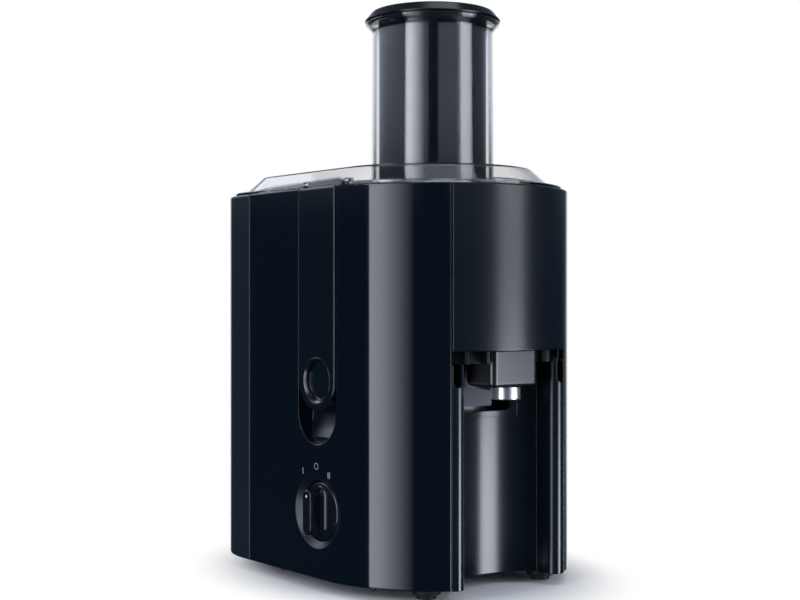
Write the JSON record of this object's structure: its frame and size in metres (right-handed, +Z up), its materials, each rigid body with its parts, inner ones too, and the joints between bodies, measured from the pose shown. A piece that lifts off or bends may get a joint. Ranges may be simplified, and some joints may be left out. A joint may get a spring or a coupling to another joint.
{
  "type": "centrifugal juicer",
  "caption": "Upright kitchen juicer: dark body with a jug bay and spout, clear lid with a wide feed chute and pusher, side clamps, speed knob, spinning filter and a rear pulp container",
  "frame": {"origin": "on the worktop, at the foot of the axis that the motor, the filter and the feed chute share", "axes": "+Z up along the spin axis, -Y to the front where the spout and jug bay are, -X to the side with the speed knob"},
  "size_m": [0.1975, 0.25, 0.3978],
  "materials": {
    "shell_gloss": "deep gloss blue-black plastic",
    "panel_satin": "satin blue-black plastic",
    "inner_plastic": "matt dark grey plastic",
    "clear_plastic": "clear polished plastic",
    "steel": "stainless steel",
    "chrome": "polished",
    "rubber": "matt black rubber",
    "copper": "enamelled copper",
    "brass": "bright brass",
    "laminations": "stacked steel laminations",
    "bracket_alloy": "die cast",
    "carbon": "pressed carbon",
    "board_green": "lacquered board",
    "marker_white": "white filler"
  },
  "bodies": {
    "motor_block": {"base_plate": "inner_plastic", "rubber_feet": "rubber", "left_side_shell": "shell_gloss", "right_side_shell": "shell_gloss", "shell_screws": "steel", "jug_recess_wall": "panel_satin", "rear_wall": "inner_plastic", "top_deck": "inner_plastic", "deck_screws": "steel", "shaft_seal": "rubber", "motor_upper_bracket": "bracket_alloy", "motor_lower_bracket": "bracket_alloy", "upper_bearing": "steel", "lower_bearing": "steel", "stator_core": "laminations", "field_coils": "copper", "motor_tie_screws": "steel", "motor_bushes": "rubber", "motor_mount_screws": "steel", "brush_holders": "brass", "carbon_brushes": "carbon", "rotary_switch": "inner_plastic", "interlock_switches": "inner_plastic", "circuit_board": "board_green", "board_components": "inner_plastic", "cord_gland": "rubber"},
    "motor_rotor": {"motor_shaft": "steel", "armature_core": "laminations", "armature_windings": "copper", "commutator": "copper", "cooling_fan": "inner_plastic", "drive_coupling": "inner_plastic"},
    "juice_collector": {"juice_bowl": "panel_satin", "front_panel": "panel_satin", "juice_spout": "panel_satin", "drip_plug": "rubber", "bowl_seal": "rubber"},
    "filter": {"filter_base": "inner_plastic", "grater_disc": "steel", "filter_sieve": "steel", "filter_rim": "inner_plastic"},
    "drip_stop": {"drip_sleeve": "chrome"},
    "lid": {"lid_cover": "clear_plastic", "feed_chute": "clear_plastic", "clamp_pins": "steel"},
    "pusher": {"pusher_body": "panel_satin", "pusher_cap": "panel_satin"},
    "left_clamp": {"left_clamp": "shell_gloss"},
    "right_clamp": {"right_clamp": "shell_gloss"},
    "speed_knob": {"speed_knob": "panel_satin", "knob_pointer": "marker_white", "knob_spindle": "steel"},
    "pulp_container": {"pulp_container": "panel_satin"}
  },
  "joints": [
    {"name": "motor_spin", "type": "hinge", "parent": "motor_block", "child": "motor_rotor", "pos_m": [0, 0, 0.06], "axis": [0, 0, 1], "continuous": true},
    {"name": "collector_lift", "type": "slide", "parent": "motor_block", "child": "juice_collector", "axis": [0, 0, 1], "range_m": [0, 0.15]},
    {"name": "filter_spin", "type": "hinge", "parent": "juice_collector", "child": "filter", "pos_m": [0, 0, 0.19], "axis": [0, 0, 1], "continuous": true},
    {"name": "drip_slide", "type": "slide", "parent": "juice_collector", "child": "drip_stop", "axis": [0, 0, -1], "range_m": [0, 0.004]},
    {"name": "lid_lift", "type": "slide", "parent": "juice_collector", "child": "lid", "axis": [0, 0, 1], "range_m": [0, 0.16]},
    {"name": "pusher_lift", "type": "slide", "parent": "lid", "child": "pusher", "axis": [0, 0, 1], "range_m": [0, 0.19]},
    {"name": "left_clamp_swing", "type": "hinge", "parent": "lid", "child": "left_clamp", "pos_m": [-0.0845, 0.0075, 0.27065], "axis": [0, 1, 0], "range_deg": [0, 100]},
    {"name": "right_clamp_swing", "type": "hinge", "parent": "lid", "child": "right_clamp", "pos_m": [0.0845, 0.0075, 0.27065], "axis": [0, -1, 0], "range_deg": [0, 100]},
    {"name": "knob_turn", "type": "hinge", "parent": "motor_block", "child": "speed_knob", "pos_m": [-0.094, 0.0075, 0.0526], "axis": [-1, 0, 0], "range_deg": [-30, 30]},
    {"name": "container_slide", "type": "slide", "parent": "motor_block", "child": "pulp_container", "axis": [0, 1, 0], "range_m": [0, 0.1]}
  ],
  "couplings": [
    {"joint": "filter_spin", "follows": "motor_spin", "ratio": 1}
  ]
}
